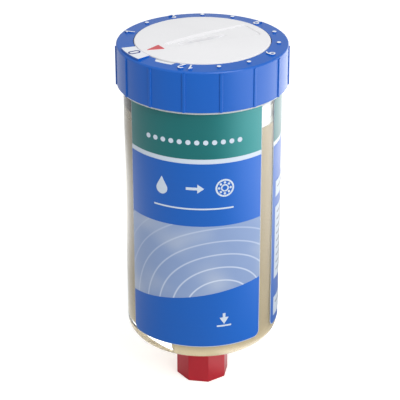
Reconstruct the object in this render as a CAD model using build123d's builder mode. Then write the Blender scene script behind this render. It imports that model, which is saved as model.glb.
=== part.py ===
"""Single-point automatic lubricator.

A clear container holds the grease. Gas cells in the timer head fill the space above a piston,
and the piston pushes the grease out through a threaded outlet, which a plug closes for transport.
The dial on top sets the number of months. All sizes are in millimetres. The origin is the centre
of the plug's lower face, +Z points up, and the front label faces -Y.
"""

import os
from math import atan2, cos, degrees, radians, sin, sqrt

from build123d import *

os.makedirs("parts", exist_ok=True)

# ---------------------------------------------------------------- driving dimensions
# Outlet: R 1/4 taper thread on a spigot
thread_major = 13.157  # diameter at the gauge plane
thread_depth = 0.856
thread_length = 9.7
thread_gauge_length = 6.0
thread_taper = 1 / 16  # on the diameter
spigot_length = 12.0
outlet_bore = 7.0

# Closure plug and its gasket
plug_flats = 16.3
plug_sides = 8
plug_floor = 2.75
plug_angle = -2.5  # where the plug stops when it is tight
plug_end_gap = 2.5
plug_bore_clearance = 0.15
plug_edge = 0.25
lead_in_angle = 20.0
gate_mark = 0.9
gasket_thickness = 0.8
gasket_clearance = 0.05
gasket_width = 0.85

# Container
container_radius = 25.0
container_wall = 1.2
container_floor = 2.0
container_height = 95.0
base_round = 6.0
collar_overhang = 1.3
collar_thickness = 0.8
snap_bead_height = 0.45
snap_bead_width = 1.2
snap_bead_drop = 3.4
snap_bead_tip = 0.6  # width at the bead's crest

# Top ring
ring_fit = 0.2
ring_wall = 1.8
ring_height = 13.1
ring_lip = 2.1
ring_lip_reach = 3.6
ring_rise = 0.45  # rise of the top face from its edge to the opening
ring_collar_gap = 0.1
ring_edge_round = 0.6
ring_bead_clearance = 0.12
rib_height = 0.35
rib_width = 1.0
notch_depth = 1.6
notch_angle = 14.6
notch_flare = 2.4  # degrees added to each side at the opening
notch_recess = 0.6
notch_field_drop = 0.2
notch_steps = 1.2  # steps of the scale past the zero

# Months scale: the marks stand at equal steps round the ring, the ribs stand under them
scale_steps = 15
last_mark_angle = -95.0
zero_angle = -143.0
longest_setting = 12  # months
numeral_height = 3.4
numeral_width = 1.95
numeral_stroke = 0.45
numeral_pitch = 2.8
numeral_inset = 0.6
zero_height = 4.0
zero_width = 2.35
dot_diameter = 1.3
mark_relief = 0.35  # above the top face, half way across a mark
zero_relief = 0.5
print_thickness = 0.08
print_margin = 0.2
print_clearance = 0.05

# Setting dial
dial_gap = 0.2
dial_proud = 0.75
dial_crown = 0.5  # fall of the top from its middle to its rim
dial_disc = 2.0
dial_wall = 1.5
dial_edge_round = 0.4
dial_flange = 1.9
dial_play = 0.2
trough_depth = 0.7
trough_pointer_gap = 1.4
trough_far_inset = 2.2
trough_near_width = 5.2
trough_far_width = 12.0
trough_slope = 0.9
trough_corner = 1.2
trough_edge_round = 0.5
coin_slot_length = 17.5
coin_slot_width = 2.0
coin_slot_depth = 1.7
boss_wall = 1.4
boss_floor = 1.0
pivot_radius = 2.0
pivot_clearance = 0.06
detent_radius = 0.55
pointer_inset = 1.8
pointer_length = 5.0
pointer_width = 3.9
pointer_inlay = 0.4
pointer_proud = 0.05

# Seals
dial_seal_section = 1.0
dial_seal_clearance = 0.1
dial_seal_play = 0.1
carrier_seal_section = 1.2
carrier_seal_play = 0.24
carrier_seal_offset = 1.0
piston_seal_width = 1.6
piston_seal_depth = 1.9
piston_seal_edge = 0.25
seal_clearance = 0.03
seal_fit = 0.02

# Cell carrier
carrier_floor = 1.5
carrier_wall = 1.75
carrier_clearance = 0.2
carrier_flange = 2.2
hoop_clearance = 0.2
hoop_wall = 1.5
hoop_ring_gap = 0.3
hoop_lip_gap = 0.1
bush_wall = 1.9
bush_board_gap = 0.5
pivot_end_gap = 1.0
cup_clearance = 0.15
cup_wall = 0.9
cup_height = 3.2
cup_gap = 0.6
gas_hole = 2.0
post_inset = 2.4
post_radius = 1.2
stake_radius = 0.7
stake_head = 1.15
stake_head_height = 0.5
stake_head_taper = 20.0

# Cells and contacts
cell_diameter = 11.6
cell_height = 5.4
cell_cap_diameter = 9.2
cell_cap_height = 0.9
cell_seal_thickness = 0.8
cell_seal_width = 1.3
cell_seal_inset = 0.1
gas_cell_edge_round = 0.6
battery_edge_round = 0.5
vent_diameter = 1.0
strip_thickness = 0.2
strip_width = 4.0
strip_clearance = 0.2
contact_gap = 1.2
contact_thickness = 0.15
contact_width = 2.6
contact_foot = 2.0
contact_rise_run = 2.0

# Circuit board
board_fit = 0.6
board_rise = 0.2
board_thickness = 1.0
board_hole_clearance = 0.4
stake_clearance = 0.1
pad_thickness = 0.08
pad_width = 2.0
pad_angle = 14.0
pad_stake_gap = 0.55
common_width = 1.0
common_gap = 1.6
wiper_gap = 0.12
wiper_thickness = 0.25
wiper_width = 3.0
wiper_boss_gap = 1.5
wiper_drop_run = 3.0
wiper_arch = 0.8
wiper_tip = 0.7
chip_length = 5.0
chip_width = 4.0
chip_height = 0.9
chip_legs = 4
chip_leg_reach = 0.7
chip_offset = 7.0
resistor_length = 2.0
resistor_width = 1.25
resistor_height = 0.5
resistor_ring_radius = 8.6
resistor_count = 5
detent_spring_thickness = 0.3
detent_spring_width = 4.0
detent_spring_gap = 0.2
detent_foot = 3.2
detent_bend = 1.1
detent_reach = 0.9
detent_bump_height = 0.5
detent_top_gap = 0.5
detent_tip_reach = 0.8

# Piston and grease
piston_clearance = 0.35
piston_height = 12.0
piston_top_gap = 0.4
piston_floor = 2.0
piston_wall = 2.9
piston_rib_count = 6
piston_rib_thickness = 1.2
piston_rib_height = 5.0
piston_hub_radius = 4.0
piston_corner_clearance = 0.15
piston_seal_gap = 0.2
piston_top_land = 0.9
rib_root = 0.02
grease_gap = 0.1

# Labels
label_film = 0.1
label_print = 0.08
label_gap = 0.02
label_margin = 0.25
label_corner = 2.0
label_base_gap = 0.4
label_collar_gap = 0.4
front_label_angle = 107.0
front_label_centre = -90.0
back_label_angle = 166.0
back_label_centre = 63.0
lower_band = 21.6
lower_band_rise = 7.0
picture_band = 21.5
upper_band = 21.3
white_stripe = 1.6

# Marks printed on the front label
month_dots = 12
month_dot_radius = 0.8
month_dot_angle = 6.2
month_dot_rise = 5.6  # above the green field's lower edge
icon_radius = 3.0
icon_angle = 23.0
icon_stroke = 0.55
icon_rise = 13.0  # above the upper blue field's lower edge
rule_length = 26.0
rule_width = 0.5
rule_rise = 5.8
arrow_rise = 10.3  # above the label's lower edge

# Panels printed on the back label
panel_columns = 4
panel_angle = 34.0
panel_gap_angle = 7.0
low_panel_rise = 2.8  # each panel's rise is above the label's lower edge
low_panel_height = 6.7
middle_panel_rise = 16.5
middle_panel_height = 26.0
top_panel_rise = 46.1
top_panel_height = 5.5
line_pitch = 2.6
line_width = 0.4
line_inset = 1.6

# ---------------------------------------------------------------- derived places
spigot_end = plug_floor + plug_end_gap
underside = spigot_end + spigot_length
plug_height = underside - gasket_thickness
bore_radius = container_radius - container_wall
floor_top = underside + container_floor
inner_round = base_round - container_wall
rim = underside + container_height

thread_growth = thread_taper / 2
spigot_root_radius = thread_major / 2 + (thread_length - thread_gauge_length) * thread_growth
spigot_core_end = thread_major / 2 - thread_gauge_length * thread_growth - thread_depth
spigot_core_root = spigot_root_radius - thread_depth
plug_bore = spigot_root_radius + plug_bore_clearance

ring_bore = container_radius + ring_fit
ring_radius = ring_bore + ring_wall
ring_opening = ring_bore - ring_lip_reach
carrier_top = rim + carrier_flange
flange_low = carrier_top + dial_play
flange_top = flange_low + dial_flange
lip_under = flange_top + dial_play
ring_top = lip_under + ring_lip
ring_low = ring_top - ring_height
ring_crest = ring_top + ring_rise
collar_top = ring_low - ring_collar_gap
bead_level = rim - snap_bead_drop

dial_radius = ring_opening - dial_gap
dial_top = ring_crest + dial_proud
disc_under = dial_top - dial_disc
hoop_outer = ring_bore - hoop_ring_gap
hoop_inner = hoop_outer - hoop_wall
flange_radius = hoop_inner - hoop_clearance
dial_inner = dial_radius - dial_wall
pointer_tip = dial_radius - pointer_inset
trough_near = pointer_tip - pointer_length - trough_pointer_gap
trough_far = dial_radius - trough_far_inset
trough_floor = dial_top - trough_depth
slot_floor = trough_floor - coin_slot_depth
boss_low = slot_floor - boss_floor
coin_radius = (coin_slot_length**2 / 4 + coin_slot_depth**2) / (2 * coin_slot_depth)

board_low = rim + board_rise
board_top = board_low + board_thickness
pad_top = board_top + pad_thickness
cell_top = board_low - contact_gap
cell_low = cell_top - cell_height
carrier_deck = cell_low - cell_seal_thickness
carrier_low = carrier_deck - carrier_floor
carrier_radius = bore_radius - carrier_clearance
carrier_inner = carrier_radius - carrier_wall
board_radius = carrier_inner - board_fit
cell_radius = cell_diameter / 2
cup_inner = cell_radius + cup_clearance
cell_circle = carrier_inner - cup_gap - cup_wall - cup_inner
bush_radius = pivot_radius + pivot_clearance + bush_wall
bush_top = board_low - bush_board_gap
pivot_low = carrier_deck + pivot_end_gap
post_circle = carrier_inner - post_inset
pad_circle = post_circle - stake_head - pad_stake_gap - pad_width / 2
common_circle = pad_circle - (pad_width + common_width) / 2 - common_gap

piston_radius = bore_radius - piston_clearance
piston_inner = piston_radius - piston_wall
piston_top = carrier_low - piston_top_gap
piston_low = piston_top - piston_height
piston_round = inner_round + piston_corner_clearance
seal_groove = piston_seal_width + 2 * seal_fit
lower_seal_level = piston_low + piston_round + piston_seal_gap + seal_groove / 2
upper_seal_level = piston_top - piston_top_land - seal_groove / 2
piston_seal_outer = bore_radius - seal_clearance

step_angle = 360 / scale_steps
notch_centre = zero_angle + notch_steps * step_angle
mark_angles = [last_mark_angle + k * step_angle for k in range(longest_setting)]
mark_circle = ring_opening + numeral_inset + numeral_height / 2
zero_outer = ring_radius - ring_edge_round - print_margin
zero_circle = (ring_opening + ring_radius - ring_edge_round) / 2
slope_width = ring_radius - ring_opening
mark_top = ring_top + ring_rise * (ring_radius - mark_circle) / slope_width + mark_relief
zero_top = ring_top + ring_rise * (ring_radius - zero_circle) / slope_width + zero_relief
wiper_angle = zero_angle + 90
pad_angles = [wiper_angle] + [angle + 90 for angle in mark_angles]
detent_angle = wiper_angle + step_angle

label_floor = underside + base_round + label_base_gap
label_top = collar_top - collar_thickness - label_collar_gap
label_radius = container_radius + label_gap
print_radius = label_radius + label_film
marks_radius = print_radius + label_print
marks_outer = marks_radius + label_print
lower_band_top = label_floor + lower_band
upper_band_low = lower_band_top + picture_band
stripe_low = upper_band_low + upper_band
green_low = stripe_low + white_stripe
margin_angle = degrees(label_margin / label_radius)


# ---------------------------------------------------------------- helpers
def corner(section, across, up):
    """The corner of a sketch that lies nearest to a point."""
    return section.vertices().sort_by_distance((across, up, 0))[0]


def sector(inner, outer, centre, width):
    """A flat piece of a ring between two radii, its middle and width in degrees."""
    start = centre - width / 2
    with BuildSketch() as shape:
        with BuildLine():
            outside = CenterArc((0, 0), outer, start, width)
            inside = CenterArc((0, 0), inner, start, width)
            Line(outside @ 0, inside @ 0)
            Line(outside @ 1, inside @ 1)
        make_face()
    return shape.sketch


def radial_plane(angle):
    """An upright plane through the axis: x runs outwards at the angle, y runs up."""
    outwards = (cos(radians(angle)), sin(radians(angle)), 0)
    return Plane(origin=(0, 0, 0), x_dir=outwards, z_dir=(outwards[1], -outwards[0], 0))


def wall_plane(angle, level):
    """An upright plane inside the wall, facing outwards: x runs right, y runs up."""
    across, along = cos(radians(angle)), sin(radians(angle))
    depth = container_radius - container_wall
    place = (depth * across, depth * along, level)
    return Plane(origin=place, x_dir=(-along, across, 0), z_dir=(across, along, 0))


def round_off(centre, width, low, radius):
    """What lies outside the rounded lower corners of a film wrapped round the wall."""
    bend = radius * sqrt(0.5)
    faces = []
    for side in (-1, 1):
        with BuildSketch(wall_plane(centre + side * width / 2, low)) as outside:
            with BuildLine():
                ThreePointArc((-side * radius, 0), (side * (bend - radius), radius - bend), (0, radius))
                Polyline(
                    (0, radius),
                    (side * radius, radius),
                    (side * radius, -radius),
                    (-side * radius, -radius),
                    (-side * radius, 0),
                )
            make_face()
        faces.append(outside.sketch.face())
    return faces


def numeral(digit, height=numeral_height, width=numeral_width):
    """One digit drawn with an even stroke, centred on the origin."""
    tall = (height - numeral_stroke) / 2
    wide = (width - numeral_stroke) / 2
    bowl = tall - wide
    strokes = {
        "0": [
            CenterArc((0, bowl), wide, 0, 180),
            CenterArc((0, -bowl), wide, 180, 180),
            Line((wide, bowl), (wide, -bowl)),
            Line((-wide, bowl), (-wide, -bowl)),
        ],
        "1": [Polyline((-wide, bowl), (0, tall), (0, -tall))],
        "2": [
            CenterArc((0, bowl), wide, 160, -200),
            Polyline(CenterArc((0, bowl), wide, 160, -200) @ 1, (-wide, -tall), (wide, -tall)),
        ],
        "3": [
            CenterArc((0, tall / 2), tall / 2, 150, -240),
            CenterArc((0, -tall / 2), tall / 2, 90, -240),
        ],
        "6": [
            CenterArc((0, -bowl), wide, 0, 360),
            ThreePointArc((-wide, -bowl), (-wide * 0.6, tall * 0.45), (wide * 0.6, tall)),
        ],
    }
    with BuildSketch() as figure:
        for stroke in strokes["6" if digit == "9" else digit]:
            trace(stroke, line_width=numeral_stroke)
    return figure.sketch.rotate(Axis.Z, 180) if digit == "9" else figure.sketch


def mark_location(angle, circle):
    """Place on the ring's top where a mark stands with its head pointing outwards."""
    spot = (circle * cos(radians(angle)), circle * sin(radians(angle)))
    return Location((spot[0], spot[1], 0), (0, 0, angle - 90))


def notch_outline(inner, outer, clearance=0.0):
    """The white window beside the dial, wider at the opening than outside."""
    slip = degrees(clearance / outer)
    half = notch_angle / 2 - slip
    spread = half + notch_flare * (outer - inner) / notch_depth
    near = [(inner * cos(a), inner * sin(a)) for a in (radians(notch_centre + spread * k) for k in (-1, 0, 1))]
    with BuildSketch() as outline:
        with BuildLine():
            edge = CenterArc((0, 0), outer, notch_centre - half, 2 * half)
            Line(edge @ 0, near[0])
            ThreePointArc(*near)
            Line(near[2], edge @ 1)
        make_face()
    return outline.sketch


numerals = {digit: numeral(digit) for digit in "12369"}
zero_figure = numeral("0", zero_height, zero_width)

# ---------------------------------------------------------------- container
with BuildPart() as container:
    with BuildSketch(Plane.XZ) as container_section:
        with BuildLine():
            Polyline(
                (outlet_bore / 2, spigot_end),
                (spigot_core_end, spigot_end),
                (spigot_core_root, spigot_end + thread_length),
                (spigot_root_radius, spigot_end + thread_length + thread_depth),
                (spigot_root_radius, underside),
                (container_radius, underside),
                (container_radius, collar_top - collar_thickness),
                (container_radius + collar_overhang, collar_top - collar_thickness),
                (container_radius + collar_overhang, collar_top),
                (container_radius, collar_top),
                (container_radius, bead_level - snap_bead_width / 2),
                (container_radius + snap_bead_height, bead_level - snap_bead_tip / 2),
                (container_radius + snap_bead_height, bead_level + snap_bead_tip / 2),
                (container_radius, bead_level + snap_bead_width / 2),
                (container_radius, rim),
                (bore_radius, rim),
                (bore_radius, floor_top),
                (outlet_bore / 2, floor_top),
                close=True,
            )
        make_face()
        fillet(corner(container_section, container_radius, underside), base_round)
        fillet(corner(container_section, bore_radius, floor_top), inner_round)
    revolve(axis=Axis.Z)
container.part.label = "container"
export_step(container.part, "parts/container.step")

# ---------------------------------------------------------------- outlet closure
with BuildPart() as plug_gasket:
    with BuildSketch(Plane.XY.offset(plug_height)):
        Circle(spigot_root_radius + gasket_clearance + gasket_width)
        Circle(spigot_root_radius + gasket_clearance, mode=Mode.SUBTRACT)
    extrude(amount=gasket_thickness)
plug_gasket.part.label = "plug_gasket"
export_step(plug_gasket.part, "parts/plug_gasket.step")

with BuildPart() as closure_plug:
    with BuildSketch():
        RegularPolygon(plug_flats / 2, plug_sides, major_radius=False, rotation=plug_angle + 180 / plug_sides)
    extrude(amount=plug_height)
    chamfer(closure_plug.faces().sort_by(Axis.Z)[0].edges(), plug_edge)
    with BuildSketch(Plane.XY.offset(plug_floor)):
        Circle(plug_bore)
    extrude(amount=plug_height - plug_floor, mode=Mode.SUBTRACT)
    with BuildSketch(Plane.XY.offset(plug_height - thread_depth)):
        Circle(plug_bore)
    extrude(amount=thread_depth, taper=-lead_in_angle, mode=Mode.SUBTRACT)
    gate_angle = radians(plug_angle - 135)
    gate_face = Plane(origin=(0, 0, 0), x_dir=(0, 0, 1), z_dir=(cos(gate_angle), sin(gate_angle), 0))
    with BuildSketch(gate_face.offset(plug_flats / 2 - gate_mark / 3)):
        with Locations((plug_height - 4 * gate_mark, 0)):
            Circle(gate_mark / 2)
    extrude(amount=gate_mark, mode=Mode.SUBTRACT)
closure_plug.part.label = "closure_plug"
export_step(closure_plug.part, "parts/closure_plug.step")

# ---------------------------------------------------------------- grease and piston
with BuildPart() as grease_charge:
    with BuildSketch(Plane.XZ) as grease_section:
        grease_low = floor_top + grease_gap / 2
        grease_radius = bore_radius - grease_gap
        grease_edge = piston_low + piston_round
        with BuildLine():
            floor_line = Line((0, grease_low), (grease_radius - inner_round, grease_low))
            low_arc = RadiusArc(floor_line @ 1, (grease_radius, grease_low + inner_round), -inner_round)
            wall_line = Line(low_arc @ 1, (grease_radius, grease_edge))
            lip_line = Line(wall_line @ 1, (piston_radius + grease_gap, grease_edge))
            crown_end = (piston_radius - piston_round, piston_low - grease_gap)
            top_arc = RadiusArc(lip_line @ 1, crown_end, piston_round + grease_gap)
            Polyline(top_arc @ 1, (0, piston_low - grease_gap), (0, grease_low))
        make_face()
    revolve(axis=Axis.Z)
grease_charge.part.label = "grease_charge"
export_step(grease_charge.part, "parts/grease_charge.step")

with BuildPart() as piston:
    with BuildSketch(Plane.XZ) as piston_section:
        groove_floor = piston_seal_outer - piston_seal_depth - seal_fit
        groove_half = seal_groove / 2
        with BuildLine():
            Polyline(
                (0, piston_low),
                (piston_radius, piston_low),
                (piston_radius, lower_seal_level - groove_half),
                (groove_floor, lower_seal_level - groove_half),
                (groove_floor, lower_seal_level + groove_half),
                (piston_radius, lower_seal_level + groove_half),
                (piston_radius, upper_seal_level - groove_half),
                (groove_floor, upper_seal_level - groove_half),
                (groove_floor, upper_seal_level + groove_half),
                (piston_radius, upper_seal_level + groove_half),
                (piston_radius, piston_top),
                (piston_inner, piston_top),
                (piston_inner, piston_low + piston_floor),
                (0, piston_low + piston_floor),
                close=True,
            )
        make_face()
        fillet(corner(piston_section, piston_radius, piston_low), piston_round)
        inner_corner = corner(piston_section, piston_inner, piston_low + piston_floor)
        fillet(inner_corner, piston_round - piston_floor / 2)
    revolve(axis=Axis.Z)
    with BuildSketch(Plane.XY.offset(piston_low + piston_floor / 2)):
        Circle(piston_hub_radius)
        with PolarLocations(piston_inner / 2, piston_rib_count):
            Rectangle(piston_inner + rib_root, piston_rib_thickness)
    extrude(amount=piston_floor / 2 + piston_rib_height)
piston.part.label = "piston"
export_step(piston.part, "parts/piston.step")

for name, level in (("piston_seal_lower", lower_seal_level), ("piston_seal_upper", upper_seal_level)):
    with BuildPart() as piston_seal:
        with BuildSketch(Plane.XZ):
            with Locations((piston_seal_outer - piston_seal_depth / 2, level)):
                RectangleRounded(piston_seal_depth, piston_seal_width, piston_seal_edge)
        revolve(axis=Axis.Z)
    piston_seal.part.label = name
    export_step(piston_seal.part, f"parts/{name}.step")

# ---------------------------------------------------------------- cell carrier
seal_level = (carrier_low + rim) / 2 + carrier_seal_offset
carrier_seal_inner = bore_radius - seal_clearance - carrier_seal_section
carrier_groove = carrier_seal_inner - seal_fit
carrier_slot = (carrier_seal_section + carrier_seal_play) / 2
with BuildPart() as cell_carrier:
    with BuildSketch(Plane.XZ):
        with BuildLine():
            Polyline(
                (0, carrier_low),
                (carrier_radius, carrier_low),
                (carrier_radius, seal_level - carrier_slot),
                (carrier_groove, seal_level - carrier_slot),
                (carrier_groove, seal_level + carrier_slot),
                (carrier_radius, seal_level + carrier_slot),
                (carrier_radius, rim),
                (container_radius, rim),
                (container_radius, carrier_top),
                (hoop_outer, carrier_top),
                (hoop_outer, lip_under - hoop_lip_gap),
                (hoop_inner, lip_under - hoop_lip_gap),
                (hoop_inner, carrier_top),
                (carrier_inner, carrier_top),
                (carrier_inner, carrier_deck),
                (0, carrier_deck),
                close=True,
            )
        make_face()
    revolve(axis=Axis.Z)
    # Locating cups, with a raised seat in the two that hold a battery
    with BuildSketch(Plane.XY.offset(carrier_deck)):
        with PolarLocations(cell_circle, 4):
            Circle(cup_inner + cup_wall)
            Circle(cup_inner, mode=Mode.SUBTRACT)
    extrude(amount=cup_height)
    with BuildSketch(Plane.XY.offset(carrier_deck)):
        with Locations((cell_circle, 0), (0, cell_circle)):
            Circle(cup_inner)
    extrude(amount=cell_seal_thickness - strip_thickness)
    with BuildSketch(Plane.XY.offset(cell_low - strip_thickness)):
        with Locations(Location((cell_circle / 2, cell_circle / 2, 0), (0, 0, 135))):
            Rectangle(cell_circle * sqrt(2), strip_width + 2 * strip_clearance)
    extrude(amount=cup_height, mode=Mode.SUBTRACT)
    # Gas holes under the two gas cells
    with BuildSketch(Plane.XY.offset(carrier_low)):
        with Locations((-cell_circle, 0), (0, -cell_circle)):
            Circle(gas_hole / 2)
    extrude(amount=carrier_floor, mode=Mode.SUBTRACT)
    # Bush for the dial's pivot
    with BuildSketch(Plane.XY.offset(carrier_deck)):
        Circle(bush_radius)
        Circle(pivot_radius + pivot_clearance, mode=Mode.SUBTRACT)
    extrude(amount=bush_top - carrier_deck)
    # Posts that carry the circuit board, with heat-formed heads
    with BuildSketch(Plane.XY.offset(carrier_deck)):
        with PolarLocations(post_circle, 4, start_angle=45):
            Circle(post_radius)
    extrude(amount=board_low - carrier_deck)
    with BuildSketch(Plane.XY.offset(board_low)):
        with PolarLocations(post_circle, 4, start_angle=45):
            Circle(stake_radius)
    extrude(amount=board_thickness)
    with BuildSketch(Plane.XY.offset(board_top)):
        with PolarLocations(post_circle, 4, start_angle=45):
            Circle(stake_head)
    extrude(amount=stake_head_height, taper=stake_head_taper)
cell_carrier.part.label = "cell_carrier"
export_step(cell_carrier.part, "parts/cell_carrier.step")

with BuildPart() as carrier_seal:
    with BuildSketch(Plane.XZ):
        with Locations((carrier_seal_inner + carrier_seal_section / 2, seal_level)):
            Circle(carrier_seal_section / 2)
    revolve(axis=Axis.Z)
carrier_seal.part.label = "carrier_seal"
export_step(carrier_seal.part, "parts/carrier_seal.step")

# ---------------------------------------------------------------- cells and contacts
for count, place in enumerate(((-cell_circle, 0), (0, -cell_circle)), start=1):
    with BuildPart() as gas_cell_seal:
        with BuildSketch(Plane.XY.offset(carrier_deck)):
            with Locations(place):
                Circle(cell_radius - cell_seal_inset)
                Circle(cell_radius - cell_seal_inset - cell_seal_width, mode=Mode.SUBTRACT)
        extrude(amount=cell_seal_thickness)
    gas_cell_seal.part.label = f"gas_cell_seal_{count}"
    export_step(gas_cell_seal.part, f"parts/gas_cell_seal_{count}.step")

    with BuildPart() as gas_cell:
        with BuildSketch(Plane.XY.offset(cell_low)):
            with Locations(place):
                Circle(cell_radius)
        extrude(amount=cell_height - cell_cap_height)
        fillet(gas_cell.edges().group_by(Axis.Z)[0], gas_cell_edge_round)
        with BuildSketch(Plane.XY.offset(cell_top - cell_cap_height)):
            with Locations(place):
                Circle(cell_cap_diameter / 2)
        extrude(amount=cell_cap_height)
        with BuildSketch(Plane.XY.offset(cell_low)):
            with Locations(place):
                Circle(vent_diameter / 2)
        extrude(amount=cell_cap_height, mode=Mode.SUBTRACT)
    gas_cell.part.label = f"gas_cell_{count}"
    export_step(gas_cell.part, f"parts/gas_cell_{count}.step")

for count, place in enumerate(((cell_circle, 0), (0, cell_circle)), start=1):
    with BuildPart() as battery:
        with BuildSketch(Plane.XY.offset(cell_low)):
            with Locations(place):
                Circle(cell_radius)
        extrude(amount=cell_height - cell_cap_height)
        fillet(battery.edges().group_by(Axis.Z)[0], battery_edge_round)
        with BuildSketch(Plane.XY.offset(cell_top - cell_cap_height)):
            with Locations(place):
                Circle(cell_cap_diameter / 2)
        extrude(amount=cell_cap_height)
    battery.part.label = f"battery_{count}"
    export_step(battery.part, f"parts/battery_{count}.step")

with BuildPart() as battery_strip:
    with BuildSketch(Plane.XY.offset(cell_low - strip_thickness)):
        with Locations(Location((cell_circle / 2, cell_circle / 2, 0), (0, 0, 135))):
            SlotCenterToCenter(cell_circle * sqrt(2), strip_width)
    extrude(amount=strip_thickness)
battery_strip.part.label = "battery_strip"
export_step(battery_strip.part, "parts/battery_strip.step")

for count in range(4):
    with BuildPart() as contact_spring:
        with BuildSketch(radial_plane(90 * count)):
            with BuildLine():
                foot = cell_top + contact_thickness / 2
                head = board_low - contact_thickness / 2
                bend = contact_rise_run / 2
                Polyline(
                    (cell_circle - bend - contact_foot, foot),
                    (cell_circle - bend, foot),
                    (cell_circle + bend, head),
                    (cell_circle + bend + contact_foot, head),
                )
            trace(line_width=contact_thickness)
        extrude(amount=contact_width / 2, both=True)
    contact_spring.part.label = f"contact_spring_{count + 1}"
    export_step(contact_spring.part, f"parts/contact_spring_{count + 1}.step")

# ---------------------------------------------------------------- circuit board
with BuildPart() as circuit_board:
    with BuildSketch(Plane.XY.offset(board_low)):
        Circle(board_radius)
        Circle(pivot_radius + board_hole_clearance, mode=Mode.SUBTRACT)
        with PolarLocations(post_circle, 4, start_angle=45):
            Circle(stake_radius + stake_clearance, mode=Mode.SUBTRACT)
    extrude(amount=board_thickness)
circuit_board.part.label = "circuit_board"
export_step(circuit_board.part, "parts/circuit_board.step")

with BuildPart() as contact_pads:
    with BuildSketch(Plane.XY.offset(board_top)):
        for angle in pad_angles:
            add(sector(pad_circle - pad_width / 2, pad_circle + pad_width / 2, angle, pad_angle))
        Circle(common_circle + common_width / 2)
        Circle(common_circle - common_width / 2, mode=Mode.SUBTRACT)
    extrude(amount=pad_thickness)
contact_pads.part.label = "contact_pads"
export_step(contact_pads.part, "parts/contact_pads.step")

with BuildPart() as timer_chip:
    with BuildSketch(Plane.XY.offset(board_top + chip_height / 4)):
        with PolarLocations(chip_offset, 1, start_angle=zero_angle):
            Rectangle(chip_width, chip_length)
    extrude(amount=chip_height * 3 / 4)
    with BuildSketch(Plane.XY.offset(board_top)):
        with PolarLocations(chip_offset, 1, start_angle=zero_angle):
            with GridLocations(0, chip_length / chip_legs, 1, chip_legs):
                Rectangle(chip_width + 2 * chip_leg_reach, chip_length / chip_legs * 0.4)
    extrude(amount=chip_height / 2)
timer_chip.part.label = "timer_chip"
export_step(timer_chip.part, "parts/timer_chip.step")

with BuildPart() as resistors:
    with BuildSketch(Plane.XY.offset(board_top)):
        for count in range(resistor_count):
            turn = zero_angle + (count + 1) * 360 / (resistor_count + 1)
            with PolarLocations(resistor_ring_radius, 1, start_angle=turn):
                Rectangle(resistor_width, resistor_length)
    extrude(amount=resistor_height)
resistors.part.label = "resistors"
export_step(resistors.part, "parts/resistors.step")

with BuildPart() as detent_spring:
    with BuildSketch(radial_plane(detent_angle)):
        with BuildLine():
            leaf_low = board_top + detent_spring_thickness / 2
            leaf_high = disc_under - detent_top_gap
            bump = (flange_low + leaf_high) / 2
            bump_radius = dial_inner - detent_spring_gap - detent_spring_thickness / 2
            Polyline(
                (bump_radius - detent_reach - detent_bend - detent_foot, leaf_low),
                (bump_radius - detent_reach - detent_bend, leaf_low),
                (bump_radius - detent_reach, bump - detent_bump_height),
                (bump_radius, bump),
                (bump_radius - detent_tip_reach, leaf_high),
            )
        trace(line_width=detent_spring_thickness)
    extrude(amount=detent_spring_width / 2, both=True)
detent_spring.part.label = "detent_spring"
export_step(detent_spring.part, "parts/detent_spring.step")

# ---------------------------------------------------------------- top ring and its scale
with BuildPart() as top_ring:
    with BuildSketch(Plane.XZ):
        with BuildLine():
            groove = ring_bore + snap_bead_height
            groove_mouth = snap_bead_width / 2 + 2 * ring_bead_clearance
            groove_flat = snap_bead_tip / 2 + ring_bead_clearance
            Polyline(
                (ring_bore, ring_low),
                (ring_radius, ring_low),
                (ring_radius, ring_top),
                (ring_opening, ring_crest),
                (ring_opening, lip_under),
                (ring_bore, lip_under),
                (ring_bore, bead_level + groove_mouth),
                (groove, bead_level + groove_flat),
                (groove, bead_level - groove_flat),
                (ring_bore, bead_level - groove_mouth),
                close=True,
            )
        make_face()
    revolve(axis=Axis.Z)
    rims = top_ring.edges().filter_by(GeomType.CIRCLE).sort_by(Axis.Z)
    fillet(rims[-2], ring_edge_round)
    with BuildSketch(Plane.XY.offset(ring_low)):
        with PolarLocations(ring_radius, scale_steps, start_angle=last_mark_angle):
            RectangleRounded(2 * rib_height, rib_width, rib_height * 0.6)
    extrude(amount=ring_height - ring_edge_round)
    # Recess that shows white beside the dial
    with BuildSketch(Plane.XY.offset(ring_crest)):
        add(notch_outline(ring_opening - notch_depth, ring_opening + notch_depth))
    extrude(amount=-notch_recess, mode=Mode.SUBTRACT)
    # Raised block for the zero
    with BuildSketch(Plane.XY.offset(ring_top - zero_relief)):
        add(sector(ring_opening, zero_outer, zero_angle, step_angle))
    extrude(amount=zero_top - ring_top + zero_relief)
    # Raised numerals for every third month, raised dots between them
    with BuildSketch(Plane.XY.offset(ring_top)) as scale_figures:
        for steps_back, angle in enumerate(mark_angles):
            months = longest_setting - steps_back
            if months % 3 and months != 1:
                with Locations(mark_location(angle, mark_circle)):
                    Circle(dot_diameter / 2)
                continue
            digits = str(months)
            for column, digit in enumerate(digits):
                shift = (column - (len(digits) - 1) / 2) * numeral_pitch
                add(mark_location(angle, mark_circle) * Pos(shift, 0) * numerals[digit])
    extrude(amount=mark_top - ring_top)
top_ring.part.label = "top_ring"
export_step(top_ring.part, "parts/top_ring.step")

with BuildPart() as scale_marks:
    extrude(scale_figures.sketch.moved(Location((0, 0, mark_top - ring_top))), amount=print_thickness)
scale_marks.part.label = "scale_marks"
export_step(scale_marks.part, "parts/scale_marks.step")

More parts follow.
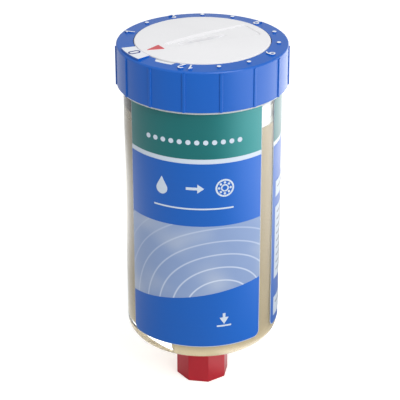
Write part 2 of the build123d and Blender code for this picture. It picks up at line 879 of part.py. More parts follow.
with BuildPart() as notch_field:
    with BuildSketch(Plane.XY.offset(ring_crest - notch_recess)):
        field_edges = (ring_opening + print_clearance, ring_opening + notch_depth - print_clearance)
        add(notch_outline(*field_edges, clearance=print_clearance))
    extrude(amount=notch_recess - notch_field_drop)
notch_field.part.label = "notch_field"
export_step(notch_field.part, "parts/notch_field.step")

with BuildPart() as zero_field:
    with BuildSketch(Plane.XY.offset(zero_top)):
        add(sector(ring_opening + print_clearance, zero_outer - print_clearance, zero_angle, step_angle))
    extrude(amount=print_thickness)
zero_field.part.label = "zero_field"
export_step(zero_field.part, "parts/zero_field.step")

with BuildPart() as zero_mark:
    with BuildSketch(Plane.XY.offset(zero_top + print_thickness)):
        add(mark_location(zero_angle, zero_circle) * zero_figure)
    extrude(amount=print_thickness)
zero_mark.part.label = "zero_mark"
export_step(zero_mark.part, "parts/zero_mark.step")

# ---------------------------------------------------------------- setting dial
pointer_side = Plane(
    origin=(0, 0, dial_top),
    x_dir=(cos(radians(zero_angle)), sin(radians(zero_angle)), 0),
    z_dir=(0, 0, 1),
)
# The pointer lies along the dial's crown
crown_slope = atan2(dial_crown, dial_radius)
pointer_face = pointer_side.rotated((0, -degrees(crown_slope), 0))
pointer_outline = [
    (pointer_tip, 0),
    (pointer_tip - pointer_length, pointer_width / 2),
    (pointer_tip - pointer_length, -pointer_width / 2),
]
seal_middle = (flange_low + flange_top) / 2
seal_outer = hoop_inner - dial_seal_clearance
seal_slot = (dial_seal_section + dial_seal_play) / 2
with BuildPart() as timing_dial:
    with BuildSketch(Plane.XZ) as dial_section:
        with BuildLine():
            Polyline(
                (0, disc_under),
                (dial_inner, disc_under),
                (dial_inner, flange_low),
                (flange_radius, flange_low),
                (flange_radius, seal_middle - seal_slot),
                (seal_outer - dial_seal_section, seal_middle - seal_slot),
                (seal_outer - dial_seal_section, seal_middle + seal_slot),
                (flange_radius, seal_middle + seal_slot),
                (flange_radius, flange_top),
                (dial_radius, flange_top),
                (dial_radius, dial_top - dial_crown),
                (0, dial_top),
                close=True,
            )
        make_face()
        fillet(corner(dial_section, dial_radius, dial_top - dial_crown), dial_edge_round)
    revolve(axis=Axis.Z)
    # Boss under the coin slot, and the pivot below it
    with BuildSketch(pointer_side.offset(boss_low - dial_top)):
        boss_width = coin_slot_width + 2 * boss_wall
        RectangleRounded(coin_slot_length + 2 * boss_wall, boss_width, boss_wall)
    extrude(amount=disc_under - boss_low)
    with BuildSketch(Plane.XY.offset(pivot_low)):
        Circle(pivot_radius)
    extrude(amount=boss_low - pivot_low)
    # Finger trough: wide away from the pointer, with sloped sides and a rounded rim
    with BuildSketch(pointer_side.offset(-trough_depth)) as trough_bed:
        with BuildLine():
            Polyline(
                (trough_near - trough_slope, trough_near_width / 2 - trough_slope),
                (trough_slope - trough_far, trough_far_width / 2 - trough_slope),
                (trough_slope - trough_far, trough_slope - trough_far_width / 2),
                (trough_near - trough_slope, trough_slope - trough_near_width / 2),
                close=True,
            )
        make_face()
        fillet(trough_bed.vertices(), trough_corner)
    side_angle = atan2(trough_slope, trough_depth)
    extrude(amount=trough_depth, taper=-degrees(side_angle), mode=Mode.SUBTRACT)
    curved = [edge for edge in timing_dial.edges() if edge.geom_type not in (GeomType.LINE, GeomType.CIRCLE)]
    level = [edge for edge in curved if abs(edge.tangent_at(0.5).Z) < cos(side_angle) / 2]
    fillet([edge for edge in level if edge.center().Z > trough_floor], trough_edge_round)
    # Coin slot with a round bed
    with BuildSketch(radial_plane(zero_angle)):
        with Locations((0, slot_floor + coin_radius)):
            Circle(coin_radius)
    extrude(amount=coin_slot_width / 2, both=True, mode=Mode.SUBTRACT)
    # Inlay for the pointer
    with BuildSketch(pointer_face.offset(pointer_proud - pointer_inlay)):
        Polygon(*pointer_outline, align=None)
    extrude(amount=pointer_inlay, mode=Mode.SUBTRACT)
    # Detent notches inside the wall
    with BuildSketch(Plane.XY.offset(flange_low)):
        with PolarLocations(dial_inner, scale_steps, start_angle=detent_angle):
            Circle(detent_radius)
    extrude(amount=disc_under - flange_low, mode=Mode.SUBTRACT)
timing_dial.part.label = "timing_dial"
export_step(timing_dial.part, "parts/timing_dial.step")

with BuildPart() as dial_pointer:
    with BuildSketch(pointer_face.offset(pointer_proud - pointer_inlay)):
        Polygon(*pointer_outline, align=None)
    extrude(amount=pointer_inlay)
dial_pointer.part.label = "dial_pointer"
export_step(dial_pointer.part, "parts/dial_pointer.step")

with BuildPart() as dial_seal:
    with BuildSketch(Plane.XZ):
        with Locations((seal_outer - dial_seal_section / 2, seal_middle)):
            Circle(dial_seal_section / 2)
    revolve(axis=Axis.Z)
dial_seal.part.label = "dial_seal"
export_step(dial_seal.part, "parts/dial_seal.step")

with BuildPart() as wiper:
    with BuildSketch(radial_plane(wiper_angle)):
        with BuildLine():
            fixed = disc_under - wiper_thickness / 2
            touch = pad_top + wiper_gap + wiper_thickness / 2
            Polyline(
                (boss_width / 2 + wiper_boss_gap, fixed),
                (common_circle - wiper_drop_run, fixed),
                (common_circle, touch),
                (common_circle + wiper_arch, touch + wiper_arch),
                (pad_circle - wiper_arch, touch + wiper_arch),
                (pad_circle, touch),
                (pad_circle + wiper_tip, touch + wiper_tip),
            )
        trace(line_width=wiper_thickness)
    extrude(amount=wiper_width / 2, both=True)
wiper.part.label = "wiper"
export_step(wiper.part, "parts/wiper.step")

# ---------------------------------------------------------------- labels
labels = {"front": (front_label_centre, front_label_angle), "back": (back_label_centre, back_label_angle)}
for side, (centre, width) in labels.items():
    with BuildPart() as label:
        film_low = label_floor - label_margin
        with BuildSketch(Plane.XY.offset(film_low)):
            add(sector(label_radius, print_radius, centre, width + 2 * margin_angle))
        extrude(amount=label_top - label_floor + 2 * label_margin)
        film_corners = round_off(centre, width + 2 * margin_angle, film_low, label_corner + label_margin)
        extrude(film_corners, amount=2 * container_wall, mode=Mode.SUBTRACT)
    label.part.label = f"{side}_label"
    export_step(label.part, f"parts/{side}_label.step")
    with BuildPart() as green_field:
        with BuildSketch(Plane.XY.offset(green_low)):
            add(sector(print_radius, marks_radius, centre, width))
        extrude(amount=label_top - green_low)
    green_field.part.label = f"{side}_label_green"
    export_step(green_field.part, f"parts/{side}_label_green.step")

with BuildPart() as back_label_blue:
    with BuildSketch(Plane.XY.offset(label_floor)):
        add(sector(print_radius, marks_radius, back_label_centre, back_label_angle))
    extrude(amount=stripe_low - label_floor)
    back_corners = round_off(back_label_centre, back_label_angle, label_floor, label_corner)
    extrude(back_corners, amount=2 * container_wall, mode=Mode.SUBTRACT)
back_label_blue.part.label = "back_label_blue"
export_step(back_label_blue.part, "parts/back_label_blue.step")

# The front label's picture panel ends in a sloping edge above the lower blue field
slope_run = container_radius * 2 * sin(radians(front_label_angle / 2))
slope = Plane(
    origin=(0, 0, lower_band_top - lower_band_rise / 2),
    x_dir=(slope_run, 0, lower_band_rise),
    z_dir=(-lower_band_rise, 0, slope_run),
)
front_fields = {
    "front_label_blue": (upper_band_low, stripe_low, None),
    "front_label_picture": (label_floor, upper_band_low, Keep.TOP),
    "front_label_base": (label_floor, lower_band_top, Keep.BOTTOM),
}
for name, (low, high, kept) in front_fields.items():
    with BuildPart() as field:
        with BuildSketch(Plane.XY.offset(low)):
            add(sector(print_radius, marks_radius, front_label_centre, front_label_angle))
        extrude(amount=high - low)
        if kept:
            split(bisect_by=slope, keep=kept)
        if kept == Keep.BOTTOM:
            front_corners = round_off(front_label_centre, front_label_angle, label_floor, label_corner)
            extrude(front_corners, amount=2 * container_wall, mode=Mode.SUBTRACT)
    field.part.label = name
    export_step(field.part, f"parts/{name}.step")

# Front marks: a row of month dots, a droplet, an arrow and a bearing, a rule and a fill arrow
with BuildPart() as front_label_marks:
    for dot in range(month_dots):
        turn = front_label_centre + (dot - (month_dots - 1) / 2) * month_dot_angle
        with BuildSketch(wall_plane(turn, green_low + month_dot_rise)):
            Circle(month_dot_radius)
        extrude(amount=2 * container_wall)
    icon_level = upper_band_low + icon_rise
    with BuildSketch(wall_plane(front_label_centre - icon_angle, icon_level)):
        with Locations((0, -icon_radius * 0.35)):
            Circle(icon_radius * 0.65)
        Polygon((-icon_radius * 0.55, 0), (icon_radius * 0.55, 0), (0, icon_radius), align=None)
    extrude(amount=2 * container_wall)
    with BuildSketch(wall_plane(front_label_centre, icon_level)):
        Rectangle(icon_radius * 1.4, icon_stroke * 1.6)
        Polygon(
            (icon_radius * 0.5, icon_radius * 0.5),
            (icon_radius * 1.2, 0),
            (icon_radius * 0.5, -icon_radius * 0.5),
            align=None,
        )
    extrude(amount=2 * container_wall)
    with BuildSketch(wall_plane(front_label_centre + icon_angle, icon_level)):
        Circle(icon_radius)
        Circle(icon_radius - icon_stroke, mode=Mode.SUBTRACT)
        with PolarLocations(icon_radius * 0.62, 8):
            Circle(icon_stroke * 0.7)
        Circle(icon_radius * 0.42)
        Circle(icon_radius * 0.42 - icon_stroke * 0.8, mode=Mode.SUBTRACT)
    extrude(amount=2 * container_wall)
    with BuildSketch(wall_plane(front_label_centre + icon_angle, label_floor + arrow_rise)):
        Rectangle(icon_stroke * 1.6, icon_radius)
        Polygon((-icon_radius * 0.5, 0), (icon_radius * 0.5, 0), (0, -icon_radius * 0.8), align=None)
        with Locations((0, -icon_radius)):
            Rectangle(icon_radius * 1.6, icon_stroke)
    extrude(amount=2 * container_wall)
    with BuildSketch(Plane.XY.offset(label_floor)):
        add(sector(marks_radius, marks_outer, front_label_centre, front_label_angle))
    extrude(amount=label_top - label_floor, mode=Mode.INTERSECT)
    with BuildSketch(Plane.XY.offset(upper_band_low + rule_rise)):
        rule_angle = degrees(rule_length / marks_radius)
        add(sector(marks_radius, marks_outer, front_label_centre, rule_angle))
    extrude(amount=rule_width)
front_label_marks.part.label = "front_label_marks"
export_step(front_label_marks.part, "parts/front_label_marks.step")

# Back panels: plain white fields, their printed lines as thin bars
column_step = panel_angle + panel_gap_angle
first_column = back_label_centre - (panel_columns - 1) / 2 * column_step
column_angles = [first_column + column * column_step for column in range(panel_columns)]
panel_rows = (
    (low_panel_rise, low_panel_rise + low_panel_height),
    (middle_panel_rise, middle_panel_rise + middle_panel_height),
    (top_panel_rise, top_panel_rise + top_panel_height),
)
with BuildPart() as back_label_panels:
    for turn in column_angles:
        for low, high in panel_rows:
            with BuildSketch(Plane.XY.offset(label_floor + low)):
                add(sector(marks_radius, marks_outer, turn, panel_angle))
            extrude(amount=high - low)
back_label_panels.part.label = "back_label_panels"
export_step(back_label_panels.part, "parts/back_label_panels.step")

full_line = panel_angle - 2 * degrees(line_inset / marks_outer)
with BuildPart() as back_label_lines:
    for turn in column_angles:
        for low, high in panel_rows:
            for line in range(1, int((high - low) / line_pitch)):
                short = full_line / 3 if line % 4 == 0 else 0
                with BuildSketch(Plane.XY.offset(label_floor + high - line * line_pitch)):
                    lines_outer = marks_outer + label_print / 2
                    add(sector(marks_outer, lines_outer, turn - short / 2, full_line - short))
                extrude(amount=line_width)
back_label_lines.part.label = "back_label_lines"
export_step(back_label_lines.part, "parts/back_label_lines.step")
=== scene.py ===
"""Looks of a single-point automatic lubricator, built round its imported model.

The file is laid out as an add-on and run as a script. Lengths are in metres, +Z points up, the plug
stands on the floor at the origin and the front label faces -Y.
"""

from math import atan2, cos, pi, radians, sin, tan

import bmesh
import bpy
from bpy.props import FloatProperty, FloatVectorProperty, PointerProperty
from mathutils import Matrix, Vector


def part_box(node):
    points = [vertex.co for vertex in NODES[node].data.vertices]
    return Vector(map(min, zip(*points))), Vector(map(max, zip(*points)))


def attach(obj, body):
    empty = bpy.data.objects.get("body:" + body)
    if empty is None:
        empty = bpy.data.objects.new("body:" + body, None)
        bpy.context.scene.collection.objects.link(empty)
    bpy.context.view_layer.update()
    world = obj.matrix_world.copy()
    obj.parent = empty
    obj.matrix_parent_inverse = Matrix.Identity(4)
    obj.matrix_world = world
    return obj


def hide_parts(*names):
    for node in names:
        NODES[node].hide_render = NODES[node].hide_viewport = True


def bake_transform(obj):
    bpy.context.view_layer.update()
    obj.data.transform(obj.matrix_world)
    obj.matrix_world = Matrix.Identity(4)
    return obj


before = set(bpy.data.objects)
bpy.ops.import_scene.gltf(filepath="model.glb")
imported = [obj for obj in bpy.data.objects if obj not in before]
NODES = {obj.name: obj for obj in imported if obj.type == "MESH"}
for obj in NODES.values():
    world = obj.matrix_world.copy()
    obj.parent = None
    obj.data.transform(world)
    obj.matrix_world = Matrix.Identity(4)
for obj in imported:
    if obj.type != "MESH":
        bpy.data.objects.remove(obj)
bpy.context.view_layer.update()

bl_info = {
    "name": "Automatic lubricator",
    "version": (1, 0, 0),
    "blender": (4, 5, 0),
    "location": "3D View > Sidebar > Lubricator",
    "description": "Builds the pieces and finishes of an automatic lubricator round its CAD frame",
    "category": "Object",
}

CONTAINER_LOW, CONTAINER_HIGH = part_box("container")
PISTON_LOW, PISTON_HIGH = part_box("piston")
SPIGOT_END, RIM = CONTAINER_LOW[2], CONTAINER_HIGH[2]
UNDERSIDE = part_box("plug_gasket")[1][2]
PLUG_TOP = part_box("closure_plug")[1][2]
RING_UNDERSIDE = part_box("top_ring")[0][2]
DIAL_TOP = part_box("timing_dial")[1][2]

MM = 0.001
TURN = 2 * pi

# Sizes that the part's source gives
THREAD_PITCH = 1.337 * MM
THREAD_GAUGE_RADIUS = 13.157 / 2 * MM
THREAD_GAUGE_LENGTH = 6.0 * MM
THREAD_LENGTH = 9.7 * MM
THREAD_DEPTH = 0.856 * MM
THREAD_GROWTH = 1 / 32
CONTAINER_RADIUS = 25.0 * MM
CONTAINER_WALL = 1.2 * MM
CONTAINER_FLOOR = 2.0 * MM
BASE_ROUND = 6.0 * MM
COLLAR_THICKNESS = 0.8 * MM
BEAD_DROP = 3.4 * MM
OUTLET_RADIUS = 3.5 * MM
PLUG_FLOOR = 2.75 * MM
PLUG_CLEARANCE = 0.15 * MM
THREAD_TOP_RADIUS = THREAD_GAUGE_RADIUS + (THREAD_LENGTH - THREAD_GAUGE_LENGTH) * THREAD_GROWTH
PLUG_BORE_RADIUS = THREAD_TOP_RADIUS + PLUG_CLEARANCE
PLUG_FLATS = 16.3 * MM
PLUG_ANGLE = radians(-2.5)
BEAD_HEIGHT = 0.45 * MM
BEAD_WIDTH = 1.2 * MM
BEAD_TIP = 0.6 * MM
PISTON_ROUND = 4.95 * MM
GREASE_GAP = 0.1 * MM
COLLAR_GAP = 0.1 * MM
BORE_RADIUS = CONTAINER_RADIUS - CONTAINER_WALL
BORE_ROUND = BASE_ROUND - CONTAINER_WALL
FLOOR_TOP = UNDERSIDE + CONTAINER_FLOOR
COLLAR_TOP = RING_UNDERSIDE - COLLAR_GAP

# Sizes that only the looks need
FINE = 0.01 * MM
WALL_EDGE_ROUND = 0.25 * MM
THREAD_RIDGE = 0.9 * THREAD_DEPTH
POCKET_DEPTH = 1.2 * MM
POCKET_START, POCKET_END = radians(-190), radians(-107.5)
PLUG_CORNER_ROUND = 0.16 * MM
PLUG_FOOT_ROUND = 0.25 * MM
PLUG_RIM_ROUND = 0.12 * MM
PLUG_THREAD_DROP = 1.5 * MM
PLUG_LEAD_ANGLE = radians(20)
GATE_DROP = 3.6 * MM
GATE_RADIUS = 0.4 * MM
LABEL_RADIUS = CONTAINER_RADIUS + 0.2 * MM
RIPPLE_PITCH = 4.6 * MM
RIPPLE_ACROSS, RIPPLE_UP = 9.0 * MM, 36.0 * MM


def shade(red, green, blue):
    """A screen colour from 0 to 255 as the linear colour that shaders take."""
    linear = []
    for value in (red, green, blue):
        part = value / 255
        linear.append(part / 12.92 if part <= 0.04045 else ((part + 0.055) / 1.055) ** 2.4)
    return (*linear, 1.0)


def colour_property(name, description, red, green, blue):
    return FloatVectorProperty(
        name=name,
        description=description,
        subtype="COLOR",
        size=4,
        min=0,
        max=1,
        default=shade(red, green, blue),
    )


def length_property(name, description, value):
    return FloatProperty(name=name, description=description, unit="LENGTH", precision=5, min=0, default=value)


def angle_property(name, description, degrees):
    return FloatProperty(name=name, description=description, unit="ROTATION", default=radians(degrees))


# ------------------------------------------------------------------------------ sizes and colours
class LubricatorSizes(bpy.types.PropertyGroup):
    camera_distance: length_property("Camera distance", "From the camera to the point it looks at", 0.5458)
    camera_height: length_property("Camera target height", "Height of the point the camera looks at", 0.06405)
    camera_azimuth: angle_property("Camera azimuth", "Turn round the object", 7)
    camera_elevation: angle_property("Camera elevation", "Angle above the horizon", 25.43)
    camera_lens: FloatProperty(name="Camera lens", description="Focal length in mm", default=150.67)
    camera_shift: FloatProperty(name="Camera shift", description="Sideways shift", default=-0.006)


class LubricatorColours(bpy.types.PropertyGroup):
    ring_blue: colour_property("Ring blue", "Moulded top ring", 10, 92, 186)
    dial_white: colour_property("Dial white", "Setting dial, piston", 235, 235, 237)
    pointer_red: colour_property("Red", "Pointer and closure plug", 186, 38, 52)
    label_green: colour_property("Label green", "Green field of the labels", 24, 108, 109)
    label_blue: colour_property("Label blue", "Blue fields of the labels", 16, 93, 184)
    label_white: colour_property("Label white", "White print", 200, 212, 226)
    scale_white: colour_property("Scale white", "White of the months scale", 232, 236, 242)
    panel_pale: colour_property("Panel blue", "Pale panel of the front label", 132, 154, 194)
    panel_light: colour_property("Panel light", "Light patches of the pale panel", 182, 192, 208)
    line_grey: colour_property("Line grey", "Printed lines on the back panels", 96, 104, 120)
    grease: colour_property("Grease", "Grease charge", 172, 158, 131)


# ------------------------------------------------------------------------------ shader helpers
def add_node(tree, kind, sockets=None, **settings):
    """A new shader node. Settings are its properties; sockets are values or other nodes' outputs."""
    node = tree.nodes.new(kind)
    for name, value in settings.items():
        setattr(node, name, value)
    for name, value in (sockets or {}).items():
        if isinstance(value, bpy.types.NodeSocket):
            tree.links.new(value, node.inputs[name])
        else:
            node.inputs[name].default_value = value
    return node


def combine(tree, operation, first, second=0.0, clamp=False):
    """The output of a Math node."""
    sockets = {0: first, 1: second}
    return add_node(tree, "ShaderNodeMath", sockets, operation=operation, use_clamp=clamp).outputs[0]


def blend_colours(tree, factor, first, second):
    """The output of a Mix node between two colours."""
    return add_node(tree, "ShaderNodeMix", {0: factor, 6: first, 7: second}, data_type="RGBA").outputs[2]


def noise(tree, place, scale, detail=2.0, roughness=0.5):
    """The output of a Noise node, as one value."""
    sockets = {"Vector": place, "Scale": scale, "Detail": detail, "Roughness": roughness}
    return add_node(tree, "ShaderNodeTexNoise", sockets).outputs[0]


def stretched(tree, place, scale):
    """The places with each axis scaled by itself."""
    return add_node(tree, "ShaderNodeMapping", {"Vector": place, "Scale": scale}).outputs[0]


def remap(tree, value, low, high, to_low=0.0, to_high=1.0):
    sockets = {"Value": value, "From Min": low, "From Max": high, "To Min": to_low, "To Max": to_high}
    return add_node(tree, "ShaderNodeMapRange", sockets).outputs[0]


def smooth(tree, value, low, high, to_low=0.0, to_high=1.0):
    """As remap, with soft ends."""
    sockets = {"Value": value, "From Min": low, "From Max": high, "To Min": to_low, "To Max": to_high}
    return add_node(tree, "ShaderNodeMapRange", sockets, interpolation_type="SMOOTHSTEP").outputs[0]


def height_above_floor(tree):
    place = add_node(tree, "ShaderNodeTexCoord").outputs["Object"]
    return add_node(tree, "ShaderNodeSeparateXYZ", {"Vector": place}).outputs["Z"]


def new_group(name, inputs, outputs):
    """A shader node group with its sockets, and its input and output nodes."""
    group = bpy.data.node_groups.new(name, "ShaderNodeTree")
    for socket_name, kind, default in inputs:
        socket = group.interface.new_socket(socket_name, in_out="INPUT", socket_type=kind)
        socket.default_value = default
    for socket_name, kind in outputs:
        group.interface.new_socket(socket_name, in_out="OUTPUT", socket_type=kind)
    return group, group.nodes.new("NodeGroupInput"), group.nodes.new("NodeGroupOutput")


COLOUR, NUMBER = "NodeSocketColor", "NodeSocketFloat"
RIPPLE_INK = (214, 224, 238)


def moulded_group():
    """Moulded plastic and rubber: slow changes of tone and gloss, fine grain, light scuffs."""
    group, given, out = new_group(
        "moulded_surface",
        [
            ("Colour", COLOUR, (0.5, 0.5, 0.5, 1)),
            ("Tone", COLOUR, (0.4, 0.4, 0.4, 1)),
            ("Roughness", NUMBER, 0.35),
            ("Spread", NUMBER, 0.1),
            ("Grain Scale", NUMBER, 4000.0),
            ("Scuffs", NUMBER, 0.3),
        ],
        [("Colour", COLOUR), ("Roughness", NUMBER), ("Height", NUMBER)],
    )
    place = add_node(group, "ShaderNodeTexCoord").outputs["Object"]
    slow = noise(group, place, 70.0, 3.0)
    fine = noise(group, place, given.outputs["Grain Scale"], 2.0, 0.55)
    scuff = noise(group, stretched(group, place, (260.0, 260.0, 2600.0)), 1.0, 4.0)
    worn = combine(group, "MULTIPLY", remap(group, scuff, 0.62, 0.74), given.outputs["Scuffs"])
    tone = smooth(group, slow, 0.15, 0.85)
    colour = blend_colours(group, tone, given.outputs["Colour"], given.outputs["Tone"])
    shift = combine(group, "MULTIPLY", combine(group, "SUBTRACT", slow, 0.5), given.outputs["Spread"])
    rough = combine(group, "ADD", given.outputs["Roughness"], shift)
    rough = combine(group, "ADD", rough, combine(group, "MULTIPLY", worn, 0.22), clamp=True)
    group.links.new(colour, out.inputs["Colour"])
    group.links.new(rough, out.inputs["Roughness"])
    group.links.new(fine, out.inputs["Height"])
    return group


def metal_group():
    """Rolled or drawn metal: fine parallel lines, cloudy tone and a little tarnish."""
    group, given, out = new_group(
        "drawn_metal",
        [
            ("Colour", COLOUR, (0.6, 0.6, 0.6, 1)),
            ("Tarnish", COLOUR, (0.3, 0.28, 0.25, 1)),
            ("Roughness", NUMBER, 0.3),
            ("Line Scale", NUMBER, 9000.0),
        ],
        [("Colour", COLOUR), ("Roughness", NUMBER), ("Height", NUMBER)],
    )
    place = add_node(group, "ShaderNodeTexCoord").outputs["Object"]
    lines = noise(group, stretched(group, place, (0.06, 1.0, 1.0)), given.outputs["Line Scale"])
    stain = remap(group, noise(group, place, 330.0, 4.0, 0.6), 0.5, 0.78, 0.0, 0.6)
    colour = blend_colours(group, stain, given.outputs["Colour"], given.outputs["Tarnish"])
    rough = combine(group, "ADD", given.outputs["Roughness"], combine(group, "MULTIPLY", stain, 0.35))
    rough = combine(group, "ADD", rough, remap(group, lines, 0.0, 1.0, -0.1, 0.1))
    group.links.new(colour, out.inputs["Colour"])
    group.links.new(rough, out.inputs["Roughness"])
    group.links.new(lines, out.inputs["Height"])
    return group


def unrolled_group():
    """Places on the container's wall laid flat: across from the middle of the front, and up."""
    outputs = [("Across", NUMBER), ("Up", NUMBER), ("Flat", "NodeSocketVector")]
    group, given, out = new_group("unrolled_wall", [("Radius", NUMBER, LABEL_RADIUS)], outputs)
    place = add_node(group, "ShaderNodeTexCoord").outputs["Object"]
    parts = add_node(group, "ShaderNodeSeparateXYZ", {"Vector": place})
    behind = combine(group, "MULTIPLY", parts.outputs["Y"], -1.0)
    angle = combine(group, "ARCTAN2", parts.outputs["X"], behind)
    across = combine(group, "MULTIPLY", angle, given.outputs["Radius"])
    flat = add_node(group, "ShaderNodeCombineXYZ", {"X": across, "Y": parts.outputs["Z"], "Z": 0.0})
    group.links.new(across, out.inputs["Across"])
    group.links.new(parts.outputs["Z"], out.inputs["Up"])
    group.links.new(flat.outputs[0], out.inputs["Flat"])
    return group


def printed_group(unrolled):
    """Ink on a wrapped film: a slow drift of density along the web, press streaks and fine mottle."""
    group, given, out = new_group(
        "printed_film",
        [
            ("Colour", COLOUR, (0.2, 0.3, 0.6, 1)),
            ("Dense Colour", COLOUR, (0.1, 0.2, 0.5, 1)),
            ("Roughness", NUMBER, 0.3),
            ("Streaks", NUMBER, 0.3),
        ],
        [("Colour", COLOUR), ("Roughness", NUMBER), ("Height", NUMBER)],
    )
    wall = add_node(group, "ShaderNodeGroup", node_tree=unrolled)
    flat = wall.outputs["Flat"]
    slow = noise(group, flat, 60.0)
    streak = noise(group, stretched(group, flat, (40.0, 1400.0, 1.0)), 1.0)
    mottle = noise(group, flat, 5200.0, 1.0)
    dense = combine(group, "MULTIPLY", smooth(group, streak, 0.2, 0.8), given.outputs["Streaks"])
    dense = combine(group, "ADD", dense, smooth(group, slow, 0.15, 0.85, 0.0, 0.45))
    dense = combine(group, "ADD", dense, smooth(group, mottle, 0.2, 0.8, -0.04, 0.04))
    colour = blend_colours(group, dense, given.outputs["Colour"], given.outputs["Dense Colour"])
    rough = combine(group, "ADD", given.outputs["Roughness"], smooth(group, slow, 0.15, 0.85, -0.03, 0.05))
    group.links.new(colour, out.inputs["Colour"])
    group.links.new(rough, out.inputs["Roughness"])
    group.links.new(mottle, out.inputs["Height"])
    return group


def named_group(name):
    """A shader node group, built the first time it is asked for."""
    makers = {
        "moulded_surface": moulded_group,
        "drawn_metal": metal_group,
        "unrolled_wall": unrolled_group,
        "printed_film": lambda: printed_group(named_group("unrolled_wall")),
    }
    return bpy.data.node_groups.get(name) or makers[name]()


def start_material(name):
    """An empty node material with its shader and output."""
    material = bpy.data.materials.new(name)
    material.use_nodes = True
    tree = material.node_tree
    tree.nodes.clear()
    shader = add_node(tree, "ShaderNodeBsdfPrincipled")
    output = add_node(tree, "ShaderNodeOutputMaterial")
    tree.links.new(shader.outputs[0], output.inputs["Surface"])
    return material, tree, shader, output


def toned(colour, share):
    """The colour with its brightness multiplied."""
    return (*(part * share for part in colour[:3]), 1.0)


def finish_material(name, group_name, group_values, relief, strength=0.4, **shader_values):
    """A material whose colour, gloss and fine relief come from one of the shader node groups."""
    material, tree, shader, output = start_material(name)
    group = named_group(group_name)
    surface = add_node(tree, "ShaderNodeGroup", group_values, node_tree=group, name="surface")
    tree.links.new(surface.outputs["Colour"], shader.inputs["Base Color"])
    tree.links.new(surface.outputs["Roughness"], shader.inputs["Roughness"])
    sockets = {"Height": surface.outputs["Height"], "Strength": strength, "Distance": relief}
    bump = add_node(tree, "ShaderNodeBump", sockets)
    tree.links.new(bump.outputs["Normal"], shader.inputs["Normal"])
    for socket_name, value in shader_values.items():
        shader.inputs[socket_name.replace("_", " ")].default_value = value
    return material


def moulded(
    name, colour, tone, roughness, grain, relief=0.01 * MM, strength=0.4, extra=None, **shader_values
):
    """Moulded plastic or rubber. Tone is how bright its patches are against the colour."""
    values = {"Colour": colour, "Tone": toned(colour, tone), "Roughness": roughness, "Grain Scale": grain}
    return finish_material(name, "moulded_surface", values | (extra or {}), relief, strength, **shader_values)


def vary(material, share, **ranges):
    """Lets some of a finish's colours go from one to another along a mask from 0 to 1."""
    tree = material.node_tree
    for name, (first, second) in ranges.items():
        mixed = blend_colours(tree, share, first, second)
        tree.links.new(mixed, tree.nodes["surface"].inputs[name.replace("_", " ")])


def clear_material(name, tint, roughness=0.03, clearness=1.0):
    """Clear plastic that lets the lamps through to what it holds."""
    values = {"Transmission_Weight": clearness, "IOR": 1.49}
    spread = {"Spread": 0.02}
    material = moulded(name, tint, 0.985, roughness, 900.0, strength=0.15, extra=spread, **values)
    tree = material.node_tree
    path = add_node(tree, "ShaderNodeLightPath")
    open_way = add_node(tree, "ShaderNodeBsdfTransparent", {"Color": (0.97, 0.97, 0.97, 1)})
    shader, output = tree.nodes["Principled BSDF"], tree.nodes["Material Output"]
    sockets = {0: path.outputs["Is Shadow Ray"], 1: shader.outputs[0], 2: open_way.outputs[0]}
    mixed = add_node(tree, "ShaderNodeMixShader", sockets)
    tree.links.new(mixed.outputs[0], output.inputs["Surface"])
    return material


def panel_material(name, colours):
    """The pale panel of the front label: soft light patches and thin rings like ripples in oil."""
    material, tree, shader, output = start_material(name)
    wall = add_node(tree, "ShaderNodeGroup", node_tree=named_group("unrolled_wall"))
    flat = wall.outputs["Flat"]
    patch = smooth(tree, noise(tree, stretched(tree, flat, (45.0, 60.0, 1.0)), 1.0, 1.0), 0.42, 0.85)
    ground = blend_colours(tree, patch, colours.panel_pale, colours.panel_light)
    across = combine(tree, "SUBTRACT", wall.outputs["Across"], RIPPLE_ACROSS)
    up = combine(tree, "SUBTRACT", wall.outputs["Up"], RIPPLE_UP)
    squares = [combine(tree, "POWER", part, 2.0) for part in (across, up)]
    span = combine(tree, "SQRT", combine(tree, "ADD", *squares))
    turns = combine(tree, "FRACT", combine(tree, "DIVIDE", span, RIPPLE_PITCH))
    middle = combine(tree, "ABSOLUTE", combine(tree, "SUBTRACT", turns, 0.5))
    ring = remap(tree, middle, 0.02, 0.075, 1.0, 0.0)
    fade = remap(tree, span, 8 * MM, 40 * MM, 0.75, 0.15)
    line = combine(tree, "MULTIPLY", ring, fade, clamp=True)
    ink = blend_colours(tree, line, ground, shade(*RIPPLE_INK))
    sockets = {"Colour": ink, "Dense Colour": ink, "Roughness": 0.33}
    surface = add_node(tree, "ShaderNodeGroup", sockets, node_tree=named_group("printed_film"))
    tree.links.new(surface.outputs["Colour"], shader.inputs["Base Color"])
    tree.links.new(surface.outputs["Roughness"], shader.inputs["Roughness"])
    return material


# ------------------------------------------------------------------------------ mesh helpers
def add_piece(name, shape, body, material, replaces=(), smooth_angle=35):
    """Makes a piece of a bmesh: smooth apart from its sharp edges, riding on its body if it has one."""
    mesh = bpy.data.meshes.new(name)
    shape.to_mesh(mesh)
    shape.free()
    mesh.polygons.foreach_set("use_smooth", [True] * len(mesh.polygons))
    mesh.set_sharp_from_angle(angle=radians(smooth_angle))
    piece = bpy.data.objects.new(name, mesh)
    bpy.context.scene.collection.objects.link(piece)
    mesh.materials.append(material)
    if body:
        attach(piece, body)
    if replaces:
        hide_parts(*replaces)
    return piece


